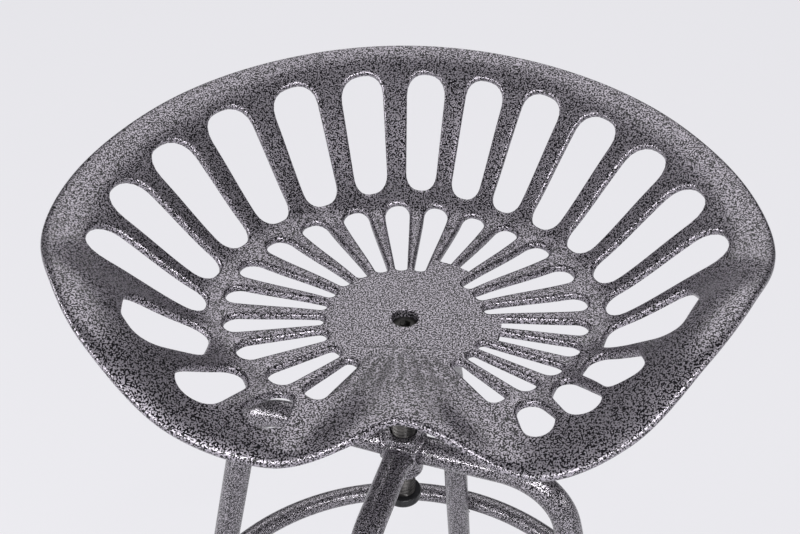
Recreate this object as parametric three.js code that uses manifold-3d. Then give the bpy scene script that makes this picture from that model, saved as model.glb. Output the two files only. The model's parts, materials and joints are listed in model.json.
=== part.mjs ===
// An adjustable tractor seat stool: a pierced cast pan seat on a screw spindle,
// a threaded hub, four bent tube legs and a foot ring.
// Millimetres, +Z up. The origin is on the floor under the spindle, and the
// front of the seat, with its pommel and two thigh lobes, faces -Y.
// Azimuths on the seat are measured from the back (+Y), positive to the right (+X).
import * as THREE from "three";
import { mergeVertices } from "three/addons/utils/BufferGeometryUtils.js";
import Module from "manifold-3d";

const wasm = await Module();
wasm.setup();

// Clearances and cutting
const fitGap = 0.3; // between pieces that seat on or in each other
const overrun = 8; // how far a cutter runs past what it cuts
const underRun = 18; // the same below the pan, which curves away from its cutters

// Overall heights
const seatHeight = 610; // floor to the top of the seat's flat disc
const ringHeight = 260; // floor to the middle of the foot ring

// Seat pan, in plan
const backDepth = 219; // spindle axis to the back rim
const seatHalfWidth = 223.5; // spindle axis to the side of the rim
const lobeReach = 137; // spindle axis to the front of the thigh lobes, along Y
const pommelReach = 102.5; // spindle axis to the front edge of the pommel
const discRadius = 55; // flat disc in the middle
const seatThickness = 5.2;

// Rim radius every 15 degrees from the back to the front, as shares of the
// size that each stretch follows: the back, the sides, the lobes. In front of
// the sides the casting is not quite the same left and right.
const backRimShares = [1, 1.022, 1.052];
const sideRimShares = [1.042, 1.034, 1.022, 1];
const leftFrontRimShares = [0.948, 0.904];
const rightFrontRimShares = [0.933, 0.879];
const leftLobeRimShares = [1.332, 1.117, 0.924];
const rightLobeRimShares = [1.328, 1.151, 0.861];

// Seat pan, in height above the disc, every 15 degrees in the same way
const backRise = 81; // back rim
const sideRise = 64; // side rim
const lobeRise = 3; // lip of a thigh lobe
const backRiseShares = [1, 0.96, 0.89];
const sideRiseShares = [1.053, 1, 0.972, 0.97, 1.07, 0.914, 0.39];
const lobeRiseShares = [1, 0.73, 0];
const dipDepth = 3.5; // how far the pan sinks round the back of the disc

// Every 15 degrees again: the share of the pan, disc to rim, that stays low,
// the share of the dip's depth there, and how far beyond the low part it runs.
const wallStartShares = [0.35, 0.36, 0.37, 0.37, 0.365, 0.355, 0.34, 0.32, 0.29, 0.25, 0.19, 0.1, 0];
const dipShares = [0.8, 0.94, 1, 1, 0.9, 0.68, 0.45, 0.15, -0.14, -0.21, -0.2, -0.14, 0];
const dipRunShare = 0.35;
const lipDrop = 4.5; // how far the rim of a lobe is rolled down
const lipRoll = 14; // and over what width
const lipStartAngle = 100;
const lipSpanAngle = 35;
const pommelRise = 9.1;
const pommelStart = 29; // spindle axis to the crease where the pommel rises
const pommelHalfAngle = 30; // degrees
const creaseSoftness = 2;

// Boss, counterbore and screw hole under the disc
const bossRadius = 32;
const bossDepth = 14; // disc top to boss underside
const bossDraft = 2;
const counterboreRadius = 8.6;
const counterboreDepth = 10.4;
const screwRadius = 5;

// Inner ring of narrow slots: their azimuths in degrees, left side then right,
// and their sizes. The ring is shortest at the front.
const innerAngles = [
  -145.2, -129.3, -110.4, -94.1, -78.3, -63.9, -48.4, -33.7, -18.8, -4.8,
  8.3, 21.1, 33.2, 46.7, 61.4, 77, 90.7, 103, 115.7, 128.4, 141.5,
];
const innerWidthShare = 0.61; // slot width as a share of the slots' spacing
const innerSlotStart = 52;
const innerSlotEnd = 128; // at the back
const innerSlotShortening = 34;
const shorteningStartAngle = 40;
const shorteningSpanAngle = 105;
const shorteningPowerShare = 1.5;

// Outer ring of wide slots, which widen and draw in towards the sides
const outerAngles = [-86.9, -72, -56.8, -41.6, -26.6, -12, 2.3, 15.2, 27.5, 40.3, 54, 68.5, 82.9];
const outerWidthShare = 0.63;
const outerWideningShare = 0.09;
const webWidth = 8.5; // metal between the two rings at the back
const webWidening = 2; // more of it at the sides
const rimBand = 23; // metal between the outer slots and the rim
const rimBandWidening = 2.7;

// Corner radii of a slot as shares of its width there
const slotStartShare = 0.45;
const slotEndShare = 0.4;

// Front openings, left then right: corners as degrees from the back and
// shares of the rim radius there, and how round their corners are.
const openingRound = 12;
const frontOpenings = [
  { side: -1, roundShare: 1, cornerShares: [[96, 0.545], [101.5, 0.79], [112, 0.837], [120, 0.837], [116, 0.64]] },
  { side: -1, roundShare: 1.1, cornerShares: [[117, 0.54], [125, 0.79], [130, 0.856], [135.5, 0.83], [130, 0.61]] },
  { side: -1, roundShare: 0.75, cornerShares: [[135.5, 0.58], [137.5, 0.755], [144, 0.845], [148, 0.78], [141, 0.57]] },
  { side: 1, roundShare: 0.67, cornerShares: [[91.2, 0.575], [92, 0.78], [100, 0.83], [114, 0.842], [102.5, 0.585]] },
  { side: 1, roundShare: 0.5, cornerShares: [[105, 0.575], [114.5, 0.747], [122.7, 0.844], [127, 0.775], [117, 0.595]] },
  { side: 1, roundShare: 1, cornerShares: [[116.5, 0.54], [126, 0.7], [130, 0.82], [136.3, 0.787], [129.7, 0.606]] },
  { side: 1, roundShare: 0.7, cornerShares: [[133, 0.58], [137, 0.73], [141.7, 0.81], [146.5, 0.79], [141, 0.61]] },
];

// Fineness of the pan
const panSectors = 50;
const discRing = 30;
const panShares = [0, 0.22, 0.36, 0.48, 0.62, 0.77, 0.9];
const cornerSteps = 2;
const lipRound = 1.6;

// Seat fastening
const headRadius = 8;
const headHeight = 4;
const hexAcross = 6;
const hexDepth = 3;
const washerThickness = 1.2;
const flangeRadius = 29;
const flangeThickness = 5;
const screwEngagement = 18; // in the spindle

// Spindle, its stop and the hub
const spindleRadius = 8.75;
const hubRadius = 14;
const hubLength = 36;
const hubTopBelowDisc = 97;
const hubChamfer = 1;
const stopTopBelowDisc = 154.5;
const stopRadius = 12.9;
const stopThickness = 7.6;
const stopRound = 2.2;
const spigotRadius = 5.5;
const stopScrewHeadRadius = 7.5;
const stopScrewHeadHeight = 4;
const stopScrewRadius = 3;
const stopScrewLength = 16;

// Legs. They are not quite alike: each has its own turn off its quarter, in
// degrees, and its own share of the run.
const legRadius = 9.8;
const legWall = 1.5;
const legBelowHubTop = 15.5; // hub top to the leg's centre line
const legRun = 70; // spindle axis to the start of the bend
const legBendRadius = 50;
const legs = [
  { place: "front", turnAngle: 14, runShare: 1 },
  { place: "left", turnAngle: 17.4, runShare: 1.086 },
  { place: "back", turnAngle: 15.8, runShare: 1 },
  { place: "right", turnAngle: 15.8, runShare: 0.99 },
];
const legSides = 12;
const legBoreSides = 8;
const bendSteps = 8;

// Foot ring
const ringRadius = 182.2; // spindle axis to the middle of the tube
const ringTubeRadius = 8;
const ringWall = 1.5;
const ventRadius = 2;
const ringSteps = 44;
const ringSides = 10;
const ringBoreSides = 6;

// Rubber feet
const footWall = 3.2;
const footFlare = 1.6;
const footSole = 7;
const footLength = 30;
const footRound = 1.5;
const footSides = 16;
const footBelow = 5; // how far the foot is made past the floor before it is cut flat

// Derived places
const degree = Math.PI / 180;
const rimStep = 15;
const discTop = seatHeight;
const bossBottom = discTop - bossDepth;
const flangeTop = bossBottom - fitGap;
const flangeBottom = flangeTop - flangeThickness;
const spindleTop = flangeBottom - fitGap;
const stopTop = discTop - stopTopBelowDisc;
const hubTop = discTop - hubTopBelowDisc;
const legHeight = hubTop - legBelowHubTop;
const screwHoleRadius = screwRadius + fitGap;

const followed = (shares, size) => shares.map((share) => share * size);

const rimSide = (frontShares, lobeShares) => [
  ...followed(backRimShares, backDepth),
  ...followed([...sideRimShares, ...frontShares], seatHalfWidth),
  ...followed(lobeShares, lobeReach),
  pommelReach,
];
const leftRim = rimSide(leftFrontRimShares, leftLobeRimShares);
const rightRim = rimSide(rightFrontRimShares, rightLobeRimShares);
const rimRises = [
  ...followed(backRiseShares, backRise),
  ...followed(sideRiseShares, sideRise),
  ...followed(lobeRiseShares, lobeRise),
];

const finish = {
  hammered: new THREE.MeshStandardMaterial({ color: 0x6f6b70, roughness: 0.35, metalness: 0.6 }),
  blackened: new THREE.MeshStandardMaterial({ color: 0x35332f, roughness: 0.4, metalness: 0.8 }),
  rubber: new THREE.MeshStandardMaterial({ color: 0x1b1b1c, roughness: 0.8, metalness: 0 }),
};

// General helpers

function clamp(value, low, high) {
  return Math.min(high, Math.max(low, value));
}

function smoothRamp(share) {
  const s = clamp(share, 0, 1);
  return s * s * (3 - 2 * s);
}

// A geometry as a manifold-3d solid.
function solidOf(geometry) {
  const bare = geometry.index ? geometry.toNonIndexed() : geometry.clone();
  const shape = new THREE.BufferGeometry();
  shape.setAttribute("position", bare.getAttribute("position"));
  const merged = mergeVertices(shape, 1e-3);
  const mesh = new wasm.Mesh({
    numProp: 3,
    vertProperties: merged.attributes.position.array,
    triVerts: new Uint32Array(merged.index.array),
  });
  return new wasm.Manifold(mesh);
}

function geometryOf(solid) {
  const mesh = solid.getMesh();
  const geometry = new THREE.BufferGeometry();
  geometry.setAttribute("position", new THREE.BufferAttribute(mesh.vertProperties, 3));
  geometry.setIndex(new THREE.BufferAttribute(mesh.triVerts, 1));
  geometry.computeVertexNormals();
  return geometry;
}

function named(name, geometry, material) {
  const mesh = new THREE.Mesh(geometry, material);
  mesh.name = name;
  return mesh;
}

// Skin through closed rings of equally many points. The ends are drawn to a
// point each, or, with no end points, the last ring joins the first.
function skin(rings, firstPoint, lastPoint) {
  const count = rings[0].length;
  const points = rings.flat();
  const faces = [];
  const bands = firstPoint ? rings.length - 1 : rings.length;
  for (let band = 0; band < bands; band++) {
    const near = band * count;
    const far = ((band + 1) % rings.length) * count;
    for (let i = 0; i < count; i++) {
      const next = (i + 1) % count;
      faces.push(near + i, far + i, far + next);
      faces.push(near + i, far + next, near + next);
    }
  }
  if (firstPoint) {
    const first = points.push(firstPoint) - 1;
    const last = points.push(lastPoint) - 1;
    const lastRing = (rings.length - 1) * count;
    for (let i = 0; i < count; i++) {
      const next = (i + 1) % count;
      faces.push(first, i, next);
      faces.push(last, lastRing + next, lastRing + i);
    }
  }
  const geometry = new THREE.BufferGeometry().setFromPoints(points);
  geometry.setIndex(faces);
  return geometry;
}

// A profile of [radius, height] pairs turned round the Z axis.
function turned(profile, sides) {
  const points = profile.map(([radius, height]) => new THREE.Vector2(radius, height));
  return new THREE.LatheGeometry(points, sides).rotateX(90 * degree);
}

// A plain round bar or drill from one height to another.
function bar(radius, bottom, top, sides) {
  return turned([[0, bottom], [radius, bottom], [radius, top], [0, top]], sides);
}

// The corners of a polygon rounded by arcs, each radius limited by its sides.
function roundedOutline(corners, radii) {
  const outline = [];
  corners.forEach((corner, i) => {
    const before = corners[(i + corners.length - 1) % corners.length];
    const after = corners[(i + 1) % corners.length];
    const back = before.clone().sub(corner);
    const ahead = after.clone().sub(corner);
    const room = Math.min(back.length(), ahead.length()) / 2;
    back.normalize();
    ahead.normalize();
    const half = Math.acos(clamp(back.dot(ahead), -1, 1)) / 2;
    const radius = Math.min(radii[i], room * Math.tan(half));
    const middle = back.clone().add(ahead).normalize();
    const centre = corner.clone().addScaledVector(middle, radius / Math.sin(half));
    const start = corner.clone().addScaledVector(back, radius / Math.tan(half)).sub(centre);
    const end = corner.clone().addScaledVector(ahead, radius / Math.tan(half)).sub(centre);
    const sweep = Math.atan2(start.cross(end), start.dot(end));
    for (let step = 0; step <= cornerSteps; step++) {
      const turn = start.clone().rotateAround(new THREE.Vector2(), (sweep * step) / cornerSteps);
      outline.push(centre.clone().add(turn));
    }
  });
  return outline;
}

// Seat

// A value between samples taken every rimStep degrees, even in azimuth.
function sampled(values, azimuth) {
  const place = Math.abs(azimuth) / (rimStep * degree);
  const last = values.length - 1;
  const cell = Math.min(Math.floor(place), last - 1);
  const t = place - cell;
  const at = (i) => values[i < 0 ? -i : i > last ? 2 * last - i : i];
  const slopeNear = (at(cell + 1) - at(cell - 1)) / 2;
  const slopeFar = (at(cell + 2) - at(cell)) / 2;
  const blend = t * t * (3 - 2 * t);
  const near = at(cell) + (at(cell + 1) - at(cell)) * blend;
  return near + slopeNear * t * (1 - t) * (1 - t) - slopeFar * t * t * (1 - t);
}

function rimRadius(azimuth) {
  return sampled(azimuth < 0 ? leftRim : rightRim, azimuth);
}

// Height of the pan's top face above the disc.
function panHeight(x, y) {
  const radius = Math.hypot(x, y);
  const azimuth = Math.atan2(x, y);
  const rim = rimRadius(azimuth);
  const share = clamp((radius - discRadius) / (rim - discRadius), 0, 1);
  const start = sampled(wallStartShares, azimuth);
  const wall = sampled(rimRises, azimuth) * smoothRamp((share - start) / (1 - start));
  const inDip = Math.min(1, share / (start + dipRunShare));
  const dip = dipDepth * sampled(dipShares, azimuth) * Math.sin(Math.PI * inDip) ** 2;
  const past = -y - pommelStart;
  const softened = (past + Math.hypot(past, 2 * creaseSoftness)) / 2;
  const turn = Math.abs(azimuth) / degree;
  const fan = smoothRamp((turn - (180 - pommelHalfAngle)) / pommelHalfAngle);
  const pommel = (pommelRise * fan * softened) / (pommelReach - pommelStart);
  const forward = smoothRamp((turn - lipStartAngle) / lipSpanAngle) * (1 - fan);
  const lip = lipDrop * forward * clamp(1 - (rim - radius) / lipRoll, 0, 1) ** 2;
  return wall - dip - lip + (radius > pommelStart ? pommel : 0);
}

function panNormal(x, y) {
  const step = seatThickness / 4;
  const alongX = panHeight(x + step, y) - panHeight(x - step, y);
  const alongY = panHeight(x, y + step) - panHeight(x, y - step);
  return new THREE.Vector3(-alongX, -alongY, 2 * step).normalize();
}

function panPoint(azimuth, radius, depth) {
  const x = radius * Math.sin(azimuth);
  const y = radius * Math.cos(azimuth);
  return new THREE.Vector3(x, y, panHeight(x, y)).addScaledVector(panNormal(x, y), -depth);
}

// The closed pan: top face out to the rim, round the lip and back underneath.
function panSkin() {
  const ring = (radiusAt, depth) =>
    Array.from({ length: panSectors }, (_, i) => {
      const azimuth = (-360 * degree * i) / panSectors;
      const signed = azimuth < -180 * degree ? azimuth + 360 * degree : azimuth;
      return panPoint(signed, radiusAt(rimRadius(signed)), depth);
    });
  const radii = [
    () => discRing,
    ...panShares.map((share) => (rim) => discRadius + (rim - discRadius) * share),
    (rim) => rim - lipRound,
  ];
  const top = radii.map((radiusAt) => ring(radiusAt, 0));
  const edge = ring((rim) => rim, seatThickness / 2);
  const bottom = radii.map((radiusAt) => ring(radiusAt, seatThickness)).reverse();
  return skin([...top, edge, ...bottom], new THREE.Vector3(), new THREE.Vector3(0, 0, -seatThickness));
}

function innerEnd(angle) {
  const share = clamp((Math.abs(angle) - shorteningStartAngle) / shorteningSpanAngle, 0, 1);
  return innerSlotEnd - innerSlotShortening * share ** shorteningPowerShare;
}

function planPoint(angle, radius) {
  return new THREE.Vector2(radius * Math.sin(angle * degree), radius * Math.cos(angle * degree));
}

// A slot with radial sides, round at both ends.
function slotOutline(angle, halfAngle, start, end) {
  const corners = [
    planPoint(angle - halfAngle, start),
    planPoint(angle + halfAngle, start),
    planPoint(angle + halfAngle, end),
    planPoint(angle - halfAngle, end),
  ];
  const startRadius = 2 * halfAngle * degree * start * slotStartShare;
  const endRadius = 2 * halfAngle * degree * end * slotEndShare;
  return roundedOutline(corners, [startRadius, startRadius, endRadius, endRadius]);
}

// Half the slot's share of the spacing between its neighbours, in degrees.
function halfAngles(angles, shareAt) {
  const last = angles.length - 1;
  return angles.map((angle, i) => {
    const low = Math.max(0, i - 1);
    const high = Math.min(last, i + 1);
    return (shareAt(angle) * (angles[high] - angles[low])) / (high - low) / 2;
  });
}

function innerOutlines() {
  const halves = halfAngles(innerAngles, () => innerWidthShare);
  return innerAngles.map((angle, i) => slotOutline(angle, halves[i], innerSlotStart, innerEnd(angle)));
}

function outerOutlines() {
  const sideways = (angle) => Math.abs(Math.sin(angle * degree));
  const halves = halfAngles(outerAngles, (angle) => outerWidthShare + outerWideningShare * sideways(angle) ** 2);
  return outerAngles.map((angle, i) => {
    const start = innerEnd(angle) + webWidth + webWidening * sideways(angle);
    const end = rimRadius(angle * degree) - rimBand - rimBandWidening * sideways(angle);
    return slotOutline(angle, halves[i], start, end);
  });
}

function frontOutline({ side, roundShare, cornerShares }) {
  const corners = cornerShares.map(([angle, share]) =>
    planPoint(side * angle, share * rimRadius(side * angle * degree)),
  );
  return roundedOutline(corners, corners.map(() => openingRound * roundShare));
}

// A cutter with walls square to the pan: a prism bent to the pan's surface.
function panCutter(outline) {
  const settings = { depth: underRun + seatThickness + overrun, bevelEnabled: false };
  const prism = new THREE.ExtrudeGeometry(new THREE.Shape(outline), settings);
  const places = prism.getAttribute("position");
  for (let i = 0; i < places.count; i++) {
    const x = places.getX(i);
    const y = places.getY(i);
    const place = panPoint(Math.atan2(x, y), Math.hypot(x, y), seatThickness + underRun - places.getZ(i));
    places.setXYZ(i, place.x, place.y, place.z);
  }
  return solidOf(prism);
}

function seatMesh() {
  const boss = turned(
    [
      [0, -bossDepth],
      [bossRadius - bossDraft, -bossDepth],
      [bossRadius, -seatThickness / 2],
      [0, -seatThickness / 2],
    ],
    panSectors / 2,
  );
  let seat = solidOf(panSkin()).add(solidOf(boss));
  const outlines = [...innerOutlines(), ...outerOutlines(), ...frontOpenings.map(frontOutline)];
  const cutters = outlines.map(panCutter);
  cutters.push(solidOf(bar(counterboreRadius, -counterboreDepth, overrun, 32)));
  cutters.push(solidOf(bar(screwHoleRadius, -bossDepth - overrun, overrun, 24)));
  for (const cutter of cutters) seat = seat.subtract(cutter);
  const mesh = named("seat", geometryOf(seat), finish.hammered);
  mesh.position.z = discTop;
  return mesh;
}

// Seat fastening

function seatScrew() {
  const seatOf = discTop - counterboreDepth + washerThickness + 2 * fitGap;
  const top = seatOf + headHeight;
  const tip = spindleTop - screwEngagement;
  const profile = [
    [0, tip],
    [screwRadius, tip],
    [screwRadius, seatOf],
    [headRadius, seatOf],
    [headRadius, top - headHeight / 6],
    [headRadius - headHeight / 6, top],
    [0, top],
  ];
  const hex = bar(hexAcross / Math.sqrt(3), top - hexDepth, top + overrun, 6);
  return named("seat_screw", geometryOf(solidOf(turned(profile, 24)).subtract(solidOf(hex))), finish.blackened);
}

// A flat ring round the Z axis.
function ringPlate(name, boreRadius, radius, bottom, top, sides, material) {
  const profile = [
    [boreRadius, bottom],
    [radius, bottom],
    [radius, top],
    [boreRadius, top],
    [boreRadius, bottom],
  ];
  return named(name, turned(profile, sides), material);
}

function seatWasher() {
  const bottom = discTop - counterboreDepth + fitGap;
  return ringPlate("seat_washer", screwHoleRadius, headRadius, bottom, bottom + washerThickness, 24, finish.blackened);
}

function seatFlange() {
  return ringPlate("seat_flange", screwHoleRadius, flangeRadius, flangeBottom, flangeTop, 36, finish.hammered);
}

// Spindle and stop

function spindle() {
  const spigotBottom = stopTop - stopThickness - fitGap;
  const shoulder = stopTop + fitGap;
  const profile = [
    [0, spigotBottom],
    [spigotRadius, spigotBottom],
    [spigotRadius, shoulder],
    [spindleRadius, shoulder],
    [spindleRadius, spindleTop],
    [0, spindleTop],
  ];
  const tappedTop = bar(screwHoleRadius, spindleTop - screwEngagement - fitGap, spindleTop + overrun, 24);
  const tappedBottom = bar(
    stopScrewRadius + fitGap,
    spigotBottom - overrun,
    spigotBottom + stopScrewLength + fitGap,
    16,
  );
  const solid = solidOf(turned(profile, 28)).subtract(solidOf(tappedTop)).subtract(solidOf(tappedBottom));
  return named("spindle", geometryOf(solid), finish.blackened);
}

function stopWasher() {
  const bore = spigotRadius + fitGap;
  const bottom = stopTop - stopThickness;
  const profile = [
    [bore, bottom],
    [stopRadius - stopRound, bottom],
    [stopRadius, bottom + stopRound],
    [stopRadius, stopTop - stopRound / 2],
    [stopRadius - stopRound / 2, stopTop],
    [bore, stopTop],
    [bore, bottom],
  ];
  return named("stop_washer", turned(profile, 28), finish.rubber);
}

function stopScrew() {
  const under = stopTop - stopThickness - 2 * fitGap;
  const bottom = under - stopScrewHeadHeight;
  const profile = [
    [0, bottom],
    [stopScrewHeadRadius / 2, bottom],
    [stopScrewHeadRadius, bottom + stopScrewHeadHeight / 2],
    [stopScrewHeadRadius, under],
    [stopScrewRadius, under],
    [stopScrewRadius, under + stopScrewLength],
    [0, under + stopScrewLength],
  ];
  return named("stop_screw", turned(profile, 20), finish.blackened);
}

// Base

function hub() {
  const bore = spindleRadius + fitGap;
  const bottom = hubTop - hubLength;
  const profile = [
    [bore, bottom],
    [hubRadius - hubChamfer, bottom],
    [hubRadius, bottom + hubChamfer],
    [hubRadius, hubTop - hubChamfer],
    [hubRadius - hubChamfer, hubTop],
    [bore, hubTop],
    [bore, bottom],
  ];
  return named("hub", turned(profile, 36), finish.hammered);
}

// A leg's bend. It leans so that the straight below it passes just inside the ring.
function bendOf({ runShare }) {
  const centre = new THREE.Vector2(legRun * runShare, legHeight - legBendRadius);
  const toRing = new THREE.Vector2(ringRadius, ringHeight).sub(centre);
  const apart = legBendRadius + legRadius + fitGap + ringTubeRadius;
  const splay = Math.atan2(toRing.y, toRing.x) + Math.acos(apart / toRing.length());
  return { centre, splay, turn: 90 * degree - splay };
}

// A place on the leg's centre line: x is out, y is up, turn is the bend so far.
function bendPlace({ centre }, turn) {
  return { x: centre.x + legBendRadius * Math.sin(turn), y: centre.y + legBendRadius * Math.cos(turn), turn };
}

// Distance of a leg's centre line from the spindle axis at a height below the bend.
function legReach(bend, height) {
  const end = bendPlace(bend, bend.turn);
  return end.x + (end.y - height) * Math.tan(bend.splay);
}

// Places along the leg's centre line, hub to foot.
function legStations(bend) {
  const stations = [{ x: hubRadius / 2, y: legHeight, turn: 0 }];
  for (let step = 0; step <= bendSteps; step++) stations.push(bendPlace(bend, (bend.turn * step) / bendSteps));
  const endHeight = (footSole + fitGap) * Math.cos(bend.splay);
  stations.push({ x: legReach(bend, endHeight), y: endHeight, turn: bend.turn });
  return stations;
}

// A round bar along the leg's stations.
function legBar(radius, sides, stations) {
  const rings = stations.map(({ x, y, turn }) =>
    Array.from({ length: sides }, (_, i) => {
      const angle = (360 * degree * i) / sides;
      const across = radius * Math.cos(angle);
      return new THREE.Vector3(x + across * Math.sin(turn), radius * Math.sin(angle), y + across * Math.cos(turn));
    }),
  );
  const end = ({ x, y }) => new THREE.Vector3(x, 0, y);
  return solidOf(skin(rings, end(stations[0]), end(stations[stations.length - 1])));
}

function legGeometry(bend) {
  const stations = legStations(bend);
  const first = { ...stations[0], x: stations[0].x - overrun };
  const last = stations[stations.length - 1];
  const past = { ...last, y: last.y - overrun, x: legReach(bend, last.y - overrun) };
  const bore = legBar(legRadius - legWall, legBoreSides, [first, ...stations.slice(1, -1), past]);
  const coping = solidOf(bar(hubRadius + fitGap, hubTop - hubLength - overrun, hubTop + overrun, 36));
  return geometryOf(legBar(legRadius, legSides, stations).subtract(bore).subtract(coping));
}

// A rubber ferrule on the leg's end, cut flat at the floor.
function footGeometry(bend) {
  const reach = legReach(bend, 0);
  const bore = legRadius + fitGap;
  const outside = bore + footWall;
  const profile = [
    [0, -footBelow],
    [outside + footFlare, -footBelow],
    [outside + footFlare, footSole - footRound],
    [outside, footSole + footRound],
    [outside - footRound / 2, footLength],
    [bore, footLength],
    [bore, footSole],
    [0, footSole],
  ];
  const ferrule = turned(profile, footSides).rotateY(-bend.splay).translate(reach, 0, 0);
  const depth = 4 * footBelow;
  const ground = new THREE.BoxGeometry(4 * outside, 4 * outside, depth).translate(reach, 0, -depth / 2);
  return geometryOf(solidOf(ferrule).subtract(solidOf(ground)));
}

function footRing() {
  const tube = new THREE.TorusGeometry(ringRadius, ringTubeRadius, ringSides, ringSteps);
  const bore = new THREE.TorusGeometry(ringRadius, ringTubeRadius - ringWall, ringBoreSides, ringSteps);
  const vent = bar(ventRadius, -ringTubeRadius - overrun, 0, 8).translate(0, ringRadius, 0);
  const solid = solidOf(tube).subtract(solidOf(bore)).subtract(solidOf(vent));
  const mesh = named("foot_ring", geometryOf(solid), finish.hammered);
  mesh.position.z = ringHeight;
  return mesh;
}

function base() {
  const group = new THREE.Group();
  group.add(hub(), footRing());
  legs.forEach((leg, i) => {
    const bend = bendOf(leg);
    const quarter = new THREE.Group();
    quarter.rotation.z = -(90 + leg.turnAngle + (360 * i) / legs.length) * degree;
    quarter.add(named(`leg_${leg.place}`, legGeometry(bend), finish.hammered));
    quarter.add(named(`foot_${leg.place}`, footGeometry(bend), finish.rubber));
    group.add(quarter);
  });
  return group;
}

const stool = new THREE.Group();
stool.add(seatMesh(), seatScrew(), seatWasher(), seatFlange());
stool.add(spindle(), stopWasher(), stopScrew());
stool.add(base());

export default stool;
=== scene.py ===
# Tractor seat stool: hammered silver paint over a pierced cast seat, a black
# screw spindle and a bent tube base with a foot ring and rubber feet.
# Pieces are drawn in millimetres from the floor and scaled to metres once.
import json
import math

import bpy
from mathutils import Matrix, Vector, noise
from mathutils.geometry import delaunay_2d_cdt
from mathutils.kdtree import KDTree


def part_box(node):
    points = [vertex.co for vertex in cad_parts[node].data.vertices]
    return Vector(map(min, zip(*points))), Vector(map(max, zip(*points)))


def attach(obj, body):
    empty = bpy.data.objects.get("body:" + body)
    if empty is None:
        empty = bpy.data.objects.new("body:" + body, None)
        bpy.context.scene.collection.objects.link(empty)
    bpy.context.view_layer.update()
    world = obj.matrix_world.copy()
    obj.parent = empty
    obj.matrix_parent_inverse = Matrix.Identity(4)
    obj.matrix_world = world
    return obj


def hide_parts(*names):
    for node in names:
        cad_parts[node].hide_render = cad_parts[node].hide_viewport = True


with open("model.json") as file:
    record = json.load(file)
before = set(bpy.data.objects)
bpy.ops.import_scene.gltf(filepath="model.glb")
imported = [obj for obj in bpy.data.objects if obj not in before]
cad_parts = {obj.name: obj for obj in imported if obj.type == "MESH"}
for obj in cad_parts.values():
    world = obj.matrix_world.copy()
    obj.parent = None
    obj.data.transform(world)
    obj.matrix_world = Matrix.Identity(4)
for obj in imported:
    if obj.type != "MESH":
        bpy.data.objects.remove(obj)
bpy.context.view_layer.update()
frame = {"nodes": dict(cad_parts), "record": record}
mm = 0.001
gap = 0.3  # between pieces that touch on the real stool


def nodeBox(name):
    low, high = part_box(name)
    return low / mm, high / mm


discTop = frame["record"]["mounts"][0]["pos_m"][2] / mm  # top of the seat's flat disc
spindleLow, spindleHigh = nodeBox("spindle")
stopLow, stopHigh = nodeBox("stop_washer")
stopScrewLow, stopScrewHigh = nodeBox("stop_screw")
flangeLow, flangeHigh = nodeBox("seat_flange")
screwLow, screwHigh = nodeBox("seat_screw")
hubLow, hubHigh = nodeBox("hub")
ringLow, ringHigh = nodeBox("foot_ring")
print("frame loaded, disc at", round(discTop, 1), "mm")


# a socket that takes part in sums
class Signal:
    def __init__(self, shader, socket):
        self.shader = shader
        self.socket = socket

    def maths(self, operation, *values):
        sockets = dict(enumerate(values))
        return self.shader.node("ShaderNodeMath", {"operation": operation}, sockets)

    def __add__(self, other):
        return self.maths("ADD", self, other)

    def __sub__(self, other):
        return self.maths("SUBTRACT", self, other)

    def __rsub__(self, other):
        return self.maths("SUBTRACT", other, self)

    def __mul__(self, other):
        return self.maths("MULTIPLY", self, other)

    def __abs__(self):
        return self.maths("ABSOLUTE", self)

    __radd__ = __add__
    __rmul__ = __mul__

    def clamped(self):
        settings = {"operation": "ADD", "use_clamp": True}
        return self.shader.node("ShaderNodeMath", settings, {0: self, 1: 0.0})

    # smooth step from 0 at low to 1 at high
    def ramp(self, low, high):
        settings = {"interpolation_type": "SMOOTHSTEP"}
        sockets = {"Value": self, "From Min": low, "From Max": high}
        return self.shader.node("ShaderNodeMapRange", settings, sockets)


class Shader:
    def __init__(self, name, world=None):
        self.material = world or bpy.data.materials.new(name)
        self.material.use_nodes = True
        self.tree = self.material.node_tree
        self.tree.nodes.clear()

    def put(self, target, value):
        if isinstance(value, Signal):
            self.tree.links.new(value.socket, target)
        elif target.type == "RGBA" and len(value) == 3:
            target.default_value = (*value, 1)
        else:
            target.default_value = value

    def node(self, kind, settings=None, sockets=None, output=0):
        made = self.tree.nodes.new(kind)
        for key, value in (settings or {}).items():
            setattr(made, key, value)
        for key, value in (sockets or {}).items():
            self.put(made.inputs[key], value)
        return Signal(self, made.outputs[output] if len(made.outputs) else None)

    def mixed(self, factor, first, second):
        settings = {"data_type": "RGBA"}
        sockets = {"Factor": factor, 6: first, 7: second}
        return self.node("ShaderNodeMix", settings, sockets, 2)

    def place(self):
        return self.node("ShaderNodeTexCoord", output="Object")

    def noise(self, place, size, detail=0.0, distortion=0.0):
        sockets = {
            "Vector": place,
            "Scale": 1 / (size * mm),
            "Detail": detail,
            "Distortion": distortion,
        }
        return self.node("ShaderNodeTexNoise", None, sockets)

    # over is the relief that this one lies on
    def bump(self, height, depth, over=None):
        sockets = {"Height": height, "Distance": depth * mm}
        if over:
            sockets["Normal"] = over
        return self.node("ShaderNodeBump", None, sockets)

    def finished(self, sockets):
        surface = self.node("ShaderNodeBsdfPrincipled", None, sockets)
        self.node("ShaderNodeOutputMaterial", None, {"Surface": surface})
        return self.material


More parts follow.
